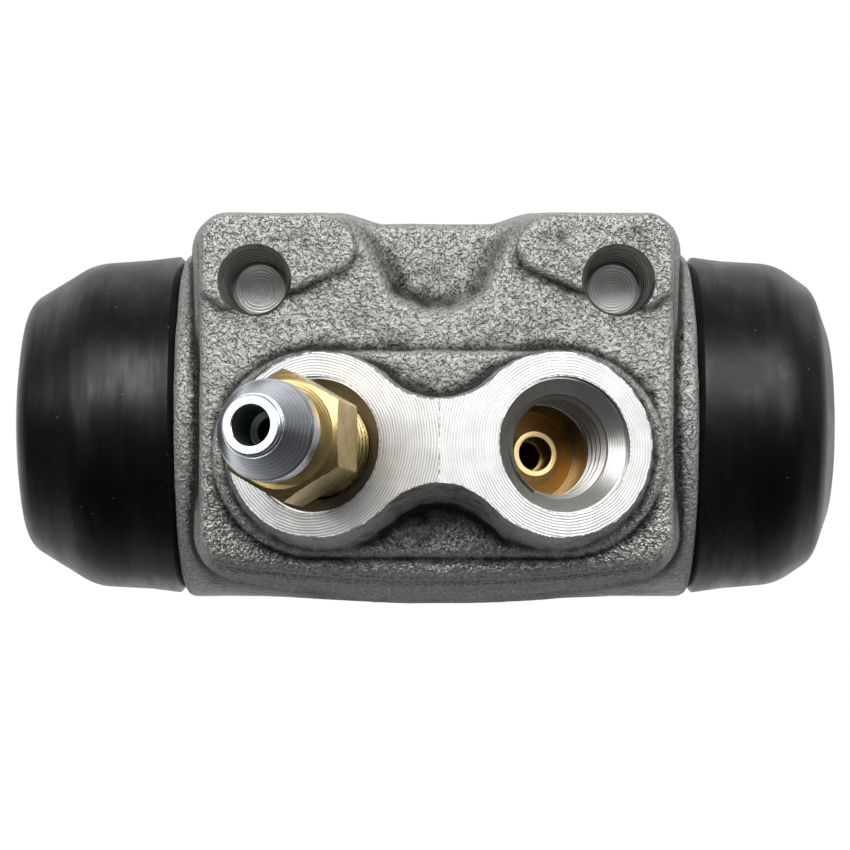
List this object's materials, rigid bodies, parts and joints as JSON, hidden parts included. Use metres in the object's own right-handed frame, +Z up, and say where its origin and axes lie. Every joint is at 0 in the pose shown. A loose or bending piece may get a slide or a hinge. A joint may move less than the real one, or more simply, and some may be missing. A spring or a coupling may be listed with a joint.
{
  "type": "wheel cylinder",
  "caption": "Drum-brake wheel cylinder: cast body with opposed pistons under rubber boots, threaded mounting ears, a flared inlet port and a bleed screw with hose nipple.",
  "frame": {"origin": "midway between the two mounting holes, on the mounting plane", "axes": "+X along the bore towards the inlet port's side, +Y from the mounting plane into the casting, +Z up, from the bore towards the mounting holes"},
  "size_m": [0.0843, 0.0618, 0.0403],
  "materials": {
    "casting": "rough sand-cast, with machined port faces",
    "piston": "turned",
    "seal_rubber": "smooth",
    "boot_rubber": "satin",
    "pressed_steel": "pressed",
    "spring_steel": "drawn wire",
    "brass": "turned",
    "zinc_steel": "bright zinc plated"
  },
  "bodies": {
    "cylinder": {"cylinder_body": "casting", "inlet_tube_seat": "brass", "return_spring": "spring_steel", "left_dust_boot": "boot_rubber", "right_dust_boot": "boot_rubber"},
    "left_piston": {"left_piston": "piston", "left_cup_seal": "seal_rubber", "left_cup_expander": "pressed_steel"},
    "right_piston": {"right_piston": "piston", "right_cup_seal": "seal_rubber", "right_cup_expander": "pressed_steel"},
    "bleed_nipple": {"bleed_nipple": "zinc_steel"},
    "bleed_screw": {"bleed_screw": "brass"}
  },
  "joints": [
    {"name": "left_piston_slide", "type": "slide", "parent": "cylinder", "child": "left_piston", "axis": [-1, 0, 0], "range_m": [-0.0044, 0.0027], "deforming": ["left_dust_boot", "return_spring"]},
    {"name": "right_piston_slide", "type": "slide", "parent": "cylinder", "child": "right_piston", "axis": [1, 0, 0], "range_m": [-0.0022, 0.005], "deforming": ["right_dust_boot"]},
    {"name": "bleed_lift", "type": "slide", "parent": "cylinder", "child": "bleed_nipple", "axis": [-0.2924, -0.954, 0.0667], "range_m": [0, 0.001]},
    {"name": "bleed_turn", "type": "hinge", "parent": "bleed_nipple", "child": "bleed_screw", "pos_m": [-0.01195, -0.00539, -0.01642], "axis": [-0.2924, -0.954, 0.0667], "range_deg": [0, 360]}
  ],
  "couplings": [
    {"joint": "bleed_turn", "follows": "bleed_lift", "rad_per_m": 6283.2}
  ]
}
